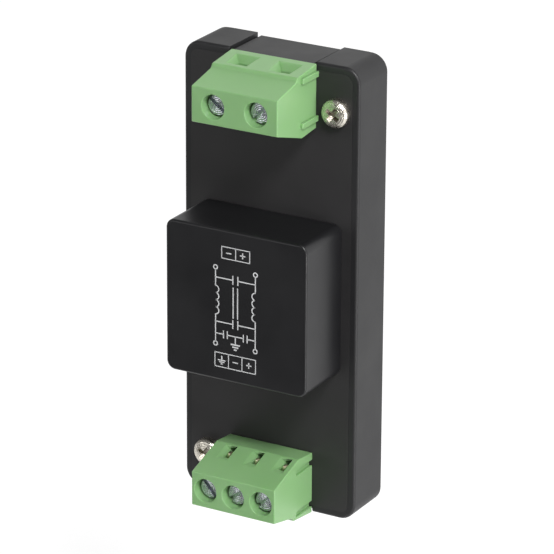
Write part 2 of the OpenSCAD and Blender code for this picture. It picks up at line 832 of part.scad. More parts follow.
base_tray();
circuit_board();
board_screw(board_screw_places[1]);  // board_screw_upper
board_screw(board_screw_places[0]);  // board_screw_lower
filter_case();
filter_potting();
filter_board();
choke_core();
choke_winding(180);  // choke_winding_left
choke_winding(0);  // choke_winding_right
line_capacitor();
load_capacitor();
earth_capacitor_lower();
earth_capacitor_upper();
for (i = [1:5])
    filter_pin(i - 1);
load_terminal_housing();
line_terminal_housing();
for (i = [1:2]) {
    clamp_screw(1, load_x(i), load_slot_angles[i - 1]);
    clamp_cage(1, load_x(i));
    contact(1, load_x(i));
}
for (i = [1:3]) {
    clamp_screw(-1, line_x(i), line_slot_angles[i - 1]);
    clamp_cage(-1, line_x(i));
    contact(-1, line_x(i));
}
rail_clip();
clip_screw(1);  // clip_screw_upper
clip_screw(-1);  // clip_screw_lower
rail_latch();
latch_spring();
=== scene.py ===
# Looks of a line filter: a potted module on a board in a black tray, with green clamp terminals
# at both ends and a clip behind. Lengths are in metres unless a comment says mm.
import json
import math

import bmesh
import bpy
from mathutils import Matrix, Vector


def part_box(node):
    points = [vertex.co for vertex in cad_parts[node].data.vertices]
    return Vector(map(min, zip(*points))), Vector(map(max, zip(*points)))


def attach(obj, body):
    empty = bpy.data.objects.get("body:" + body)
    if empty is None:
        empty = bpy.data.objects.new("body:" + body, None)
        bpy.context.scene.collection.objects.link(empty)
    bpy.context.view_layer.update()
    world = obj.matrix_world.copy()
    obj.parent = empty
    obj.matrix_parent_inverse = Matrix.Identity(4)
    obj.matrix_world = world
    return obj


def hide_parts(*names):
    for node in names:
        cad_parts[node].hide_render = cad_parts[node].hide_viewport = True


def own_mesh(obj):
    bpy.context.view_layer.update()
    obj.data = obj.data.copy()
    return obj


MM = 0.001
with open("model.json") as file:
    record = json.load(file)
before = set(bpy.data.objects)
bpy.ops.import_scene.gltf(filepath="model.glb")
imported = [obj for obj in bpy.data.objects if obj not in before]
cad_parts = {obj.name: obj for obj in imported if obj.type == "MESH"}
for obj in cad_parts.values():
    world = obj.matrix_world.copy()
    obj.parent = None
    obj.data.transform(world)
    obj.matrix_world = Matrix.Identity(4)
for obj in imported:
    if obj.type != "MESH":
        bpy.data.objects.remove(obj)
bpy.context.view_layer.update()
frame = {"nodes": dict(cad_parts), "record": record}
nodes = frame["nodes"]
body_of = {node: body for body, names in frame["record"]["behaviour"]["bodies"].items()
           for node in names}
slot_of = {part["node"]: part["material_slot"] for part in frame["record"]["subparts"]}


def new_object(name, data):
    """An object in the scene for some data."""
    obj = bpy.data.objects.new(name, data)
    bpy.context.scene.collection.objects.link(obj)
    return obj


def mesh_from(work, name):
    """Turns a bmesh into a mesh, and frees it."""
    mesh = bpy.data.meshes.new(name)
    work.to_mesh(mesh)
    work.free()
    return mesh


def box_of(node):
    """A CAD node's middle, lowest corner and highest corner."""
    low, high = [Vector(corner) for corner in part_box(node)]
    return (low + high) / 2, low, high


# Camera

# The photograph's own viewpoint, found from the tray's and the module's corners, with its turns
# in degrees
CAMERA_PLACE = (0.280644, -0.499033, 0.214750)
CAMERA_TURN = 29.76539
CAMERA_LOOK_DOWN = 20.88317
CAMERA_ROLL = 0.31742
# Both in the camera's own mm
SENSOR_WIDTH = 36
FOCAL_LENGTH = 247.159

camera = new_object("camera", bpy.data.cameras.new("camera"))
camera.data.sensor_width = SENSOR_WIDTH
camera.data.lens = FOCAL_LENGTH
camera.matrix_world = (Matrix.Translation(CAMERA_PLACE)
                       @ Matrix.Rotation(math.radians(CAMERA_TURN), 4, "Z")
                       @ Matrix.Rotation(math.radians(90 - CAMERA_LOOK_DOWN), 4, "X")
                       @ Matrix.Rotation(math.radians(CAMERA_ROLL), 4, "Z"))
bpy.context.scene.camera = camera

# Materials

# A Mix node's two colours and its result, by number, because its sockets' names repeat
MIX_FIRST, MIX_SECOND, MIX_RESULT = 6, 7, 2
# A Wave texture's scale for bands one metre apart
WAVE_SCALE = 0.314
# Distances, in mm, between a screw head's rings and between the threads of a glass cloth
RING_PITCH = 0.3
WEAVE_PITCH = 0.5


def linear(hex_colour):
    """An sRGB hex colour as linear red, green, blue and alpha."""
    channels = [int(hex_colour[i:i + 2], 16) / 255 for i in (1, 3, 5)]
    return tuple(c / 12.92 if c <= 0.04045 else ((c + 0.055) / 1.055) ** 2.4
                 for c in channels) + (1.0,)


def add(tree, kind, inputs=None, **settings):
    """Adds a node. Settings are its own, and inputs are values or other nodes' outputs, by the
    socket's name or number."""
    node = tree.nodes.new(kind)
    for name, value in settings.items():
        setattr(node, name, value)
    for name, value in (inputs or {}).items():
        if isinstance(value, bpy.types.NodeSocket):
            tree.links.new(value, node.inputs[name])
        else:
            node.inputs[name].default_value = value
    return node


def new_material(name):
    """A material with an empty tree, and the tree."""
    material = bpy.data.materials.new(name)
    material.use_nodes = True
    material.node_tree.nodes.clear()
    return material, material.node_tree


def finish(tree, surface):
    """Ends a material's tree with its surface."""
    add(tree, "ShaderNodeOutputMaterial", {"Surface": surface.outputs[0]})


def moulded_plastic(name, dark, light, roughness, grain, depth, specular=0.5, glow=0.0):
    """Injection-moulded plastic: slow clouds of colour and gloss from the melt's flow, and the
    mould's grain, of a size and depth in mm. glow is how much light travels inside it."""
    material, tree = new_material(name)
    place = add(tree, "ShaderNodeTexCoord").outputs["Object"]
    flow = add(tree, "ShaderNodeTexNoise", {"Vector": place, "Scale": 1 / (9 * MM), "Detail": 3})
    skin = add(tree, "ShaderNodeTexNoise", {
        "Vector": place, "Scale": 1 / (grain * MM), "Detail": 2, "Roughness": 0.6})
    colour = add(tree, "ShaderNodeMix", {
        "Factor": flow.outputs["Fac"], MIX_FIRST: linear(dark), MIX_SECOND: linear(light)},
        data_type="RGBA")
    gloss = add(tree, "ShaderNodeMapRange", {
        "Value": flow.outputs["Fac"], "From Min": 0.3, "From Max": 0.7,
        "To Min": roughness - 0.05, "To Max": roughness + 0.05})
    bump = add(tree, "ShaderNodeBump", {
        "Height": skin.outputs["Fac"], "Strength": 0.5, "Distance": depth * MM})
    finish(tree, add(tree, "ShaderNodeBsdfPrincipled", {
        "Base Color": colour.outputs[MIX_RESULT], "Roughness": gloss.outputs[0],
        "Normal": bump.outputs[0], "Specular IOR Level": specular,
        "Subsurface Weight": glow, "Subsurface Radius": (0.7, 1.0, 0.5),
        "Subsurface Scale": 0.6 * MM}))
    return material


def plated_metal(name, dark, light, roughness, scratch, depth):
    """Metal with a plated or drawn skin: soft stains of colour, uneven gloss, and fine marks of a
    size and depth in mm."""
    material, tree = new_material(name)
    place = add(tree, "ShaderNodeTexCoord").outputs["Object"]
    stain = add(tree, "ShaderNodeTexNoise", {"Vector": place, "Scale": 1 / (1.6 * MM), "Detail": 4})
    marks = add(tree, "ShaderNodeTexNoise", {
        "Vector": place, "Scale": 1 / (scratch * MM), "Detail": 3, "Distortion": 1.5})
    colour = add(tree, "ShaderNodeMix", {
        "Factor": stain.outputs["Fac"], MIX_FIRST: linear(dark), MIX_SECOND: linear(light)},
        data_type="RGBA")
    gloss = add(tree, "ShaderNodeMapRange", {
        "Value": marks.outputs["Fac"], "From Min": 0.25, "From Max": 0.75,
        "To Min": roughness - 0.08, "To Max": roughness + 0.12})
    bump = add(tree, "ShaderNodeBump", {
        "Height": marks.outputs["Fac"], "Strength": 0.4, "Distance": depth * MM})
    finish(tree, add(tree, "ShaderNodeBsdfPrincipled", {
        "Base Color": colour.outputs[MIX_RESULT], "Metallic": 1.0,
        "Roughness": gloss.outputs[0], "Normal": bump.outputs[0]}))
    return material


def turned_steel(name, dark, light, roughness, node):
    """A plated screw head: faint rings around the screw's own line, from turning and from the dies
    that headed it, under tumbling dents. Real rings lie 0.1 mm apart or less, and are drawn wider
    so that they show."""
    material, tree = new_material(name)
    place = add(tree, "ShaderNodeTexCoord").outputs["Object"]
    centred = add(tree, "ShaderNodeMapping", {"Vector": place, "Location": -box_of(node)[0]})
    turning = add(tree, "ShaderNodeTexWave", {
        "Vector": centred.outputs[0], "Scale": WAVE_SCALE / (RING_PITCH * MM), "Distortion": 0.4},
        wave_type="RINGS", rings_direction="Y")
    dents = add(tree, "ShaderNodeTexNoise", {
        "Vector": place, "Scale": 1 / (0.5 * MM), "Detail": 3, "Distortion": 1.2})
    stain = add(tree, "ShaderNodeTexNoise", {"Vector": place, "Scale": 1 / (0.9 * MM), "Detail": 4})
    relief = add(tree, "ShaderNodeMath", {
        0: turning.outputs["Fac"], 1: 0.3, 2: dents.outputs["Fac"]}, operation="MULTIPLY_ADD")
    colour = add(tree, "ShaderNodeMix", {
        "Factor": stain.outputs["Fac"], MIX_FIRST: linear(dark), MIX_SECOND: linear(light)},
        data_type="RGBA")
    gloss = add(tree, "ShaderNodeMapRange", {
        "Value": dents.outputs["Fac"], "From Min": 0.3, "From Max": 0.7,
        "To Min": roughness - 0.06, "To Max": roughness + 0.1})
    bump = add(tree, "ShaderNodeBump", {
        "Height": relief.outputs[0], "Strength": 0.7, "Distance": 0.12 * MM})
    finish(tree, add(tree, "ShaderNodeBsdfPrincipled", {
        "Base Color": colour.outputs[MIX_RESULT], "Metallic": 1.0,
        "Roughness": gloss.outputs[0], "Normal": bump.outputs[0]}))
    return material


def woven_laminate(name, dark, light, roughness, depth):
    """Glass-cloth laminate under a lacquer: the cloth's weave shows as faint squares."""
    material, tree = new_material(name)
    place = add(tree, "ShaderNodeTexCoord").outputs["Object"]
    warp, weft = [add(tree, "ShaderNodeTexWave", {
        "Vector": place, "Scale": WAVE_SCALE / (WEAVE_PITCH * MM), "Distortion": 0.6},
        bands_direction=direction) for direction in ("X", "Z")]
    weave = add(tree, "ShaderNodeMath", {
        0: warp.outputs["Fac"], 1: weft.outputs["Fac"]}, operation="MULTIPLY")
    flow = add(tree, "ShaderNodeTexNoise", {"Vector": place, "Scale": 1 / (7 * MM), "Detail": 4})
    skin = add(tree, "ShaderNodeTexNoise", {"Vector": place, "Scale": 1 / (0.3 * MM), "Detail": 2})
    relief = add(tree, "ShaderNodeMath", {
        0: weave.outputs[0], 1: 0.25, 2: skin.outputs["Fac"]}, operation="MULTIPLY_ADD")
    colour = add(tree, "ShaderNodeMix", {
        "Factor": flow.outputs["Fac"], MIX_FIRST: linear(dark), MIX_SECOND: linear(light)},
        data_type="RGBA")
    gloss = add(tree, "ShaderNodeMapRange", {
        "Value": flow.outputs["Fac"], "From Min": 0.3, "From Max": 0.7,
        "To Min": roughness - 0.05, "To Max": roughness + 0.05})
    bump = add(tree, "ShaderNodeBump", {
        "Height": relief.outputs[0], "Strength": 0.5, "Distance": depth * MM})
    finish(tree, add(tree, "ShaderNodeBsdfPrincipled", {
        "Base Color": colour.outputs[MIX_RESULT], "Roughness": gloss.outputs[0],
        "Normal": bump.outputs[0]}))
    return material


# Pressed and folded brass strip, slightly dulled, in the cages and the contacts
brass = plated_metal("pressed_brass", "#B08A44", "#D2AC62", 0.3, 0.3, 0.008)
finish_of = {
    # Black glass-filled polyester, moulded against a spark-eroded steel: a dull, finely pitted
    # skin. Its real pits are about 0.1 mm across, drawn here at 0.3 mm so that they show.
    "tray_plastic": moulded_plastic(
        "spark_textured_black_polyester", "#171718", "#1E1E20", 0.52, 0.3, 0.02),
    # Black polyamide of the clip and latch, from a smoother mould
    "clip_plastic": moulded_plastic(
        "moulded_black_polyamide", "#141415", "#1C1C1E", 0.46, 0.45, 0.015),
    # The module's case: black plastic with a finer, slightly shinier skin than the tray
    "case_plastic": moulded_plastic(
        "satin_black_moulded_case", "#121214", "#18181A", 0.38, 0.35, 0.008, specular=0.42),
    # Green polyamide of the terminal blocks: satin, with light that travels a little way inside
    "green_polyamide": moulded_plastic(
        "satin_green_polyamide", "#7BA66E", "#86B07A", 0.36, 0.5, 0.01, glow=0.35),
    # Matt black lacquer over the glass laminate of the main board
    "solder_mask": woven_laminate(
        "matt_black_lacquered_laminate", "#212021", "#282728", 0.5, 0.012),
    # Plain green board inside the case
    "glass_laminate": woven_laminate(
        "green_lacquered_laminate", "#235A36", "#2D6B41", 0.35, 0.015),
    # Cast epoxy: black, hard and shiny, with a slightly wavy skin
    "potting_resin": moulded_plastic("cast_black_epoxy", "#0B0B0C", "#141415", 0.25, 2.5, 0.08),
    # Pressed and fired ferrite in a dull grey lacquer
    "ferrite": moulded_plastic("lacquered_ferrite", "#35393C", "#43484B", 0.45, 0.25, 0.02),
    # Fired ceramic of the chip capacitors, brown and faintly speckled
    "capacitor_ceramic": moulded_plastic(
        "fired_brown_ceramic", "#7D6344", "#94785A", 0.4, 0.2, 0.01),
    # Nickel-plated steel of the clip's screws: a warm white
    "nickel_steel": plated_metal("nickel_plated_steel", "#B9AFA0", "#DDD5C8", 0.2, 0.5, 0.03),
    "brass_cage": brass,
    "brass_contact": brass,
    # Tinned brass pins: dull white metal
    "tinned_pin": plated_metal("tinned_pin", "#B4B3AC", "#D4D3CD", 0.38, 0.25, 0.01),
    # Drawn spring wire: grey, with drawing lines too fine to show
    "spring_steel": plated_metal("drawn_spring_wire", "#8E9092", "#B9BABB", 0.28, 0.2, 0.006),
    # Copper wire under a clear amber enamel
    "copper_wire": plated_metal("enamelled_copper_wire", "#A2512A", "#C46C3C", 0.25, 0.4, 0.006)}
# The nickel plate inside a board screw's recess: darker than the head's, as painted shade in the
# recess, and rougher
shaded_recess_steel = plated_metal("painted_shade_screw_recess", "#8A8276", "#D3CCC0", 0.4, 0.3, 0.12)
# The contacts' ends: brass drawn a pale cream, brighter than the rest, as a painted highlight where
# they show in their windows
highlight_pale_brass = plated_metal("highlight_pale_tip_brass", "#CFC39A", "#F2EDD3", 0.3, 0.3, 0.02)
# White pad-printing ink: dull, thin, slightly patchy
white_ink = moulded_plastic("white_pad_print_ink", "#C4C5C6", "#D0D1D2", 0.6, 0.25, 0.004)


def finish_for(node):
    """A node's material. Each clamp screw has its own, with rings around its line."""
    if node in CLAMP_SCREWS:
        # Zinc plate on a cold-headed steel screw: a cool, bright grey
        return turned_steel(node + "_zinc_plate", "#A9AEB8", "#E0E3E7", 0.15, node)
    return finish_of[slot_of[node]]


# Shapes

BOARD_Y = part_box("circuit_board")[0][1]
CLAMP_SCREWS = [node for node in nodes if slot_of[node] == "zinc_screw"]
BOARD_SCREWS = ["board_screw_upper", "board_screw_lower"]
HOUSINGS = ["load_terminal_housing", "line_terminal_housing"]

# Roundings, in mm: of most nodes, of those with their own, and of a housing's outer edges
EDGE = 0.1
EDGES = {"filter_potting": 0.05, "filter_board": 0.05, "filter_case": 0.08, "rail_clip": 0.15,
         "rail_latch": 0.15, "choke_core": 0, "choke_winding_left": 0, "choke_winding_right": 0,
         "latch_spring": 0, "load_terminal_housing": 0, "line_terminal_housing": 0}
HOUSING_EDGE = 0.14
# The least angle and length of an outer edge that is rounded, and the least angle of any other
OUTER_ANGLE, OUTER_LENGTH = math.radians(10), 0.15 * MM
EDGE_ANGLE = math.radians(28)
# How many widths of a rounding have to be free beside its edge, and the cosine of an angle to it
# under which another edge leaves it sideways
ROOM, SIDEWAYS = 2.2, 0.9
# Edges at more than this angle are shaded sharp
SHARP_ANGLE = math.radians(40)
# A sharp edge is carried on along an edge that turns from it by less than this, in radians
STRAIGHT = 0.3
# What is merged: the CAD's loose corners, its slivers, its flat faces, and a rounding's slivers
LOOSE, SLIVER, FLAT_ANGLE, CRUMB = 0.001 * MM, 0.002 * MM, math.radians(0.5), 0.004 * MM

# A clamp screw: height of its head, radius of its shank, and what the finished shank is slimmer by
CLAMP_HEAD, CLAMP_SHANK, SHANK_ROOM = 1.58 * MM, 1.2 * MM, 0.04 * MM
# How far the edges of a cage's bore lie outside the shank, at most
BORE_ROOM = 0.2 * MM
# How far an edge of the tray or board may lie from the board's face and still be left sharp
FACE_ROOM = 0.2 * MM
# How much wider and taller the finished board is, to reach under the tray's rim
BOARD_OVERLAP = 0.08 * MM

# A board screw's head: its radius as a share of the CAD's, the height of its upright rim, and the
# fullness of its crown, which is 2 for an ellipse and more for a flatter top
PAN_WIDER, PAN_RIM, PAN_FULLNESS = 1.02, 0.4 * MM, 2.6
# Its shank's radius as a share of the head's, and the chamfer at the shank's end
PAN_SHANK, SHANK_CHAMFER = 0.55, (0.3 * MM, 0.4 * MM)
# Its crown's rings in the profile, and how closely they crowd towards the rim
CROWN_RINGS, CROWDING = 15, 0.8
# Its cross recess: span, depth and width of a wing, what its bottom keeps of span and width, how
# far its top stands clear of the head, and the wings' turns in degrees
RECESS = (4.3 * MM, 2 * MM, 0.95 * MM)
RECESS_BOTTOM = (0.3, 1, 0.6)
RECESS_CLEAR = 0.1 * MM
RECESS_TURNS = (35, 125)
# Faces this deep under the crown, and within this share of the head's radius, are in the recess and
# take its painted shade
RECESS_DEPTHS, RECESS_REACH = (0.15 * MM, 1.5 * MM), 0.93

# The places below are in mm. In a terminal block they go across a pole, out from the clamp screw's
# line and up from the board. On the block's slope they go across, up from its kink, and out of it.
# The slope's kink, and its direction, as out and up
KINK, SLOPE = (-5.35, 4.4), Vector((2.45, 7.8)).normalized()
# The CAD's plain window on the slope, which is filled in first: across, up the slope, out of it
OLD_WINDOW = ((-1.8, 1.4), (0.12, 5.08), (0, -1))
# The ramp's floor and its mouth, each as across, up the slope, and out of it
RAMP_FLOOR = ((-1.45, -0.1), (0.6, 2.2), -0.65)
RAMP_MOUTH = ((-1.55, 0.65), (0.45, 4.2), 0.1)
# The slot, and the room around the contact's tip, each as across, out and up
WINDOW_CUTS = (((-1.45, -0.5), (-5.15, -4.7), (3.9, 7)), ((-1.45, -0.3), (-4.8, -3.3), (3.9, 7.1)))
# The tip: across, its corners seen from the side as out and up, and its rounding
TIP_ACROSS = (-1.42, -0.72)
TIP_SIDE = ((-2.85, 4.7), (-3.4, 4.7), (-4.75, 5.7), (-4.75, 6.65), (-2.85, 6.65))
TIP_EDGE = 0.2


def piece_from(work, name, material, body):
    """Makes a finished piece from a bmesh: smooth, except along its sharp edges."""
    bmesh.ops.recalc_face_normals(work, faces=work.faces)
    for face in work.faces:
        face.smooth = True
    for edge in work.edges:
        edge.smooth = edge.is_manifold and edge.calc_face_angle() < SHARP_ANGLE
    for vert in work.verts:
        # A sharp edge that ends in a rounding goes on along its middle, so that flat faces stay
        # evenly lit
        hard = [e for e in vert.link_edges if not e.smooth]
        if len(hard) == 1:
            back = vert.co - hard[0].other_vert(vert).co
            onward = [e for e in vert.link_edges
                      if e.smooth and back.angle(e.other_vert(vert).co - vert.co) < STRAIGHT]
            if onward:
                max(onward, key=lambda e: e.calc_face_angle()).smooth = False
    piece = new_object(name, mesh_from(work, name))
    piece.data.materials.append(material)
    piece.modifiers.new("even_shading", "WEIGHTED_NORMAL").keep_sharp = True
    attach(piece, body)
    return piece


def room_beside(edge):
    """How far there is to round an edge back: the shortest edge that leaves it sideways."""
    def direction(e):
        return (e.verts[1].co - e.verts[0].co).normalized()

    along = direction(edge)
    sideways = [other.calc_length() for v in edge.verts for other in v.link_edges
                if other is not edge and abs(direction(other).dot(along)) < SIDEWAYS]
    return min(sideways, default=1)


def round_edges(work, edges, width, segments):
    """Rounds some edges of a bmesh by a width in mm, or by half or a quarter of it where there is
    less room."""
    for part in (1, 0.5, 0.25):
        offset = part * width * MM
        roomy = [e for e in edges if e.is_valid and room_beside(e) > ROOM * offset]
        edges = [e for e in edges if e not in set(roomy)]
        bmesh.ops.bevel(work, geom=roomy, offset=offset, offset_type="OFFSET", affect="EDGES",
                        segments=segments, profile=0.5, material=-1, clamp_overlap=False)


def merged(mesh):
    """A bmesh of a mesh, with its loose triangles joined into flat faces."""
    work = bmesh.new()
    work.from_mesh(mesh)
    bmesh.ops.remove_doubles(work, verts=work.verts, dist=LOOSE)
    bmesh.ops.dissolve_degenerate(work, dist=SLIVER, edges=work.edges)
    bmesh.ops.dissolve_limit(work, angle_limit=FLAT_ANGLE, verts=work.verts, edges=work.edges)
    return work


def soften(node, mesh, left_sharp=None, outer_edge=None):
    """A finished piece in place of a CAD node, from the node's mesh or one like it, with its edges
    rounded as a moulding's or pressing's are. Edges that left_sharp picks stay sharp."""
    work = merged(mesh)
    if outer_edge:
        round_edges(work, [e for e in work.edges if e.is_manifold
                           and e.calc_length() > OUTER_LENGTH
                           and e.calc_face_angle_signed() > OUTER_ANGLE], outer_edge, 3)
    if EDGES.get(node, EDGE):
        round_edges(work, [e for e in work.edges if e.is_manifold
                           and e.calc_face_angle() > EDGE_ANGLE
                           and not (left_sharp and left_sharp(e))], EDGES.get(node, EDGE), 2)
    bmesh.ops.remove_doubles(work, verts=work.verts, dist=CRUMB)
    bmesh.ops.dissolve_degenerate(work, dist=CRUMB, edges=work.edges)
    piece = piece_from(work, node + "_finished", finish_for(node), body_of[node])
    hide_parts(node)
    return piece


def carved(piece, cut, joined=()):
    """A piece's mesh with some bmesh shapes joined to it, and then others cut from it."""
    tools = []
    for operation, shapes in (("UNION", joined), ("DIFFERENCE", cut)):
        for shape in shapes:
            bmesh.ops.recalc_face_normals(shape, faces=shape.faces)
            tools.append(new_object("tool", mesh_from(shape, "tool")))
            step = piece.modifiers.new("step", "BOOLEAN")
            step.operation, step.solver, step.object = operation, "EXACT", tools[-1]
    bpy.context.view_layer.update()
    graph = bpy.context.evaluated_depsgraph_get()
    done = bpy.data.meshes.new_from_object(piece.evaluated_get(graph))
    piece.modifiers.clear()
    for tool in tools:
        bpy.data.objects.remove(tool)
    return done


def hull(places):
    """The smallest convex shape around some places."""
    work = bmesh.new()
    for place in places:
        work.verts.new(place)
    bmesh.ops.convex_hull(work, input=work.verts)
    return work


def pan_head_screw(node):
    """A pan-head screw in place of a CAD one: a rounded rim, a flatter top and a tapered cross
    recess whose plate is darkened as painted shade."""
    middle, low, high = box_of(node)
    head_r = PAN_WIDER * (high.x - low.x) / 2
    rise = BOARD_Y - low.y - PAN_RIM

    def crown(r):
        share = (1 - min(r / head_r, 1) ** PAN_FULLNESS) ** (1 / PAN_FULLNESS)
        return BOARD_Y - PAN_RIM - rise * share

    shank_r = PAN_SHANK * head_r
    inward, up = SHANK_CHAMFER
    profile = [(0, high.y), (shank_r - inward, high.y), (shank_r, high.y - up),
               (shank_r, BOARD_Y), (head_r, BOARD_Y)]
    for ring in range(CROWN_RINGS, 0, -1):
        r = head_r * math.sin(math.radians(90 * ring / CROWN_RINGS)) ** CROWDING
        profile.append((r, crown(r)))
    profile.append((0, crown(0)))
    work = bmesh.new()
    spots = [work.verts.new((middle.x + r, y, middle.z)) for r, y in profile]
    line = [work.edges.new(pair) for pair in zip(spots, spots[1:])]
    bmesh.ops.spin(work, geom=spots + line, cent=middle, axis=(0, 1, 0), angle=math.tau, steps=64,
                   use_merge=True)
    bmesh.ops.remove_doubles(work, verts=work.verts, dist=LOOSE)
    # Nickel plate on a cold-headed steel screw: a warm, bright white
    plate = turned_steel(node + "_nickel_plate", "#C4BEB1", "#F0EBE0", 0.25, node)
    piece = piece_from(work, node + "_finished", plate, body_of[node])
    piece.modifiers.remove(piece.modifiers["even_shading"])

    wings = []
    for turn in RECESS_TURNS:
        wing = bmesh.new()
        made = bmesh.ops.create_cube(wing, size=1)["verts"]
        bmesh.ops.scale(wing, vec=RECESS, verts=made)
        bmesh.ops.scale(wing, vec=RECESS_BOTTOM, verts=[v for v in made if v.co.y > 0])
        bmesh.ops.rotate(wing, cent=(0, 0, 0), verts=made,
                         matrix=Matrix.Rotation(math.radians(turn), 3, "Y"))
        bmesh.ops.translate(wing, vec=(middle.x, low.y - RECESS_CLEAR, middle.z), verts=made)
        wings.append(wing)
    piece.data = carved(piece, cut=wings)
    piece.data.set_sharp_from_angle(angle=SHARP_ANGLE)
    # The recess's faces below take a darker plate, as painted shade
    piece.data.materials.append(shaded_recess_steel)
    shallowest, deepest = RECESS_DEPTHS
    for face in piece.data.polygons:
        r = math.hypot(face.center.x - middle.x, face.center.z - middle.z)
        if (r < RECESS_REACH * (high.x - low.x) / 2
                and shallowest < face.center.y - crown(r) < deepest):
            face.material_index = 1
    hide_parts(node)


def on_board_face(edge):
    """Whether an edge lies in the tray's front face, where the board's rim and the tray's meet."""
    return all(abs(v.co.y - BOARD_Y) < FACE_ROOM for v in edge.verts)


def beside_bore(node):
    """A test for the edges of a cage's bore and of the walls beside it, which have no room for a
    rounding."""
    middle = box_of(node)[0]

    def test(edge):
        return all(math.hypot(v.co.x - middle.x, v.co.z - middle.z) < CLAMP_SHANK + BORE_ROOM
                   for v in edge.verts)
    return test


def slim_shank(piece, node):
    """Takes a clamp screw's shank in, so that it clears its cage's walls when they rise past it."""
    middle, low, _ = box_of(node)
    for v in piece.data.vertices:
        out = Vector((v.co.x - middle.x, 0, v.co.z - middle.z))
        if v.co.y > low.y + CLAMP_HEAD and out.length < CLAMP_SHANK + SHANK_ROOM:
            v.co -= SHANK_ROOM * out / CLAMP_SHANK


def pole_places(housing):
    """Each clamp screw of a terminal block, with a function that turns its pole's own places into
    places in the scene."""
    side = 1 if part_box(housing)[0][2] > 0 else -1
    for screw in sorted(CLAMP_SCREWS):
        low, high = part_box(screw)
        if (low[2] > 0) == (side > 0):
            x, z = (low[0] + high[0]) / 2, (low[2] + high[2]) / 2
            yield screw, lambda across, out, up, x=x, z=z: Vector((
                x + side * across * MM, BOARD_Y - up * MM, z + side * out * MM))


def on_slope(along, out):
    """A place on a block's slope, as out from the clamp screw's line and up from the board."""
    return (KINK[0] + along * SLOPE[0] - out * SLOPE[1],
            KINK[1] + along * SLOPE[1] + out * SLOPE[0])


def windowed_housing(housing):
    """A terminal block's mesh with its windows finished: a ramp that leads to a narrow slot, with
    a wider place at its end for the contact's tip."""
    rough = new_object("rough", mesh_from(merged(nodes[housing].data), "rough"))
    filled, cut = [], []
    for _, place in pole_places(housing):
        across, along, out = OLD_WINDOW
        filled.append(hull([place(a, *on_slope(t, o)) for a in across for t in along for o in out]))
        cut.append(hull([place(a, *on_slope(t, out))
                         for across, along, out in (RAMP_FLOOR, RAMP_MOUTH)
                         for a in across for t in along]))
        for across, out, up in WINDOW_CUTS:
            cut.append(hull([place(a, o, u) for a in across for o in out for u in up]))
    done = carved(rough, cut, filled)
    bpy.data.objects.remove(rough)
    return done


def contact_tip(screw, place):
    """The rounded end of a contact, folded up into its window."""
    tip = hull([place(a, out, up) for a in TIP_ACROSS for out, up in TIP_SIDE])
    round_edges(tip, tip.edges[:], TIP_EDGE, 4)
    # The tip's pale colour is a painted highlight
    piece_from(tip, screw.replace("screw", "contact_tip"), highlight_pale_brass, "base")


for node in nodes:
    if node in HOUSINGS:
        soften(node, windowed_housing(node), outer_edge=HOUSING_EDGE)
    elif node in CLAMP_SCREWS:
        slim_shank(soften(node, nodes[node].data), node)
    elif "cage" in node:
        soften(node, nodes[node].data, left_sharp=beside_bore(node))
    elif node in ("base_tray", "circuit_board"):
        soften(node, nodes[node].data, left_sharp=on_board_face)
    elif node not in BOARD_SCREWS:
        soften(node, nodes[node].data)

# The latch's spring's finished piece is given a mesh of its own
middle, low, high = box_of("latch_spring")
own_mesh(bpy.data.objects["latch_spring_finished"])

# The lacquered board meets the tray's rim without a gap that shows
_, low, high = box_of("circuit_board")
bpy.data.objects["circuit_board_finished"].data.transform(Matrix.Diagonal((
    (high.x - low.x + BOARD_OVERLAP) / (high.x - low.x), 1,
    (high.z - low.z + BOARD_OVERLAP) / (high.z - low.z), 1)))

for housing in HOUSINGS:
    for screw, place in pole_places(housing):
        contact_tip(screw, place)
for node in BOARD_SCREWS:
    pan_head_screw(node)

# Printing on the module's front face, with places in mm to the right and up from its middle

FACE_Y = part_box("filter_case")[0][1]
# The printing's middle
PRINT_X, PRINT_Z = 0.25, -1.7
# The ink's thickness, and the share of it that is in the face
INK, INK_SUNK = 0.02, 0.1
# Widths of the strokes in the signs and the circuit, and in the boxes
STROKE, BOX_STROKE = 0.18, 0.14
marks = bmesh.new()


def print_bar(x0, x1, z0, z1):
    """A printed bar between two places across and two up."""
    made = bmesh.ops.create_cube(marks, size=1)["verts"]
    bmesh.ops.scale(marks, vec=Vector((x1 - x0, INK, z1 - z0)) * MM, verts=made)
    bmesh.ops.translate(marks, verts=made, vec=Vector((
        (PRINT_X + (x0 + x1) / 2) * MM, FACE_Y - (0.5 - INK_SUNK) * INK * MM,
        (PRINT_Z + (z0 + z1) / 2) * MM)))


def upright(x, z0, z1):
    """An upright printed stroke."""
    print_bar(x - STROKE / 2, x + STROKE / 2, z0, z1)


def level(x0, x1, z):
    """A level printed stroke, whose ends may come in either order."""
    print_bar(min(x0, x1), max(x0, x1), z - STROKE / 2, z + STROKE / 2)


def print_arc(x, z, radius, start, turn):
    """A printed arc around a place, with its start and turn in degrees."""
    corners = [marks.verts.new(((PRINT_X + x + r) * MM, FACE_Y + y * MM, (PRINT_Z + z) * MM))
               for r, y in ((radius - STROKE / 2, (INK_SUNK - 1) * INK),
                            (radius + STROKE / 2, (INK_SUNK - 1) * INK),
                            (radius + STROKE / 2, INK_SUNK * INK),
                            (radius - STROKE / 2, INK_SUNK * INK))]
    end = marks.faces.new(corners)
    centre = Vector(((PRINT_X + x) * MM, FACE_Y, (PRINT_Z + z) * MM))
    bmesh.ops.rotate(marks, cent=centre, verts=corners,
                     matrix=Matrix.Rotation(math.radians(start), 3, "Y"))
    full = turn == 360
    bmesh.ops.spin(marks, geom=corners + list(end.edges) + ([] if full else [end]), cent=centre,
                   axis=(0, 1, 0), angle=math.radians(turn), steps=24, use_merge=full)
    if full:
        marks.faces.remove(end)


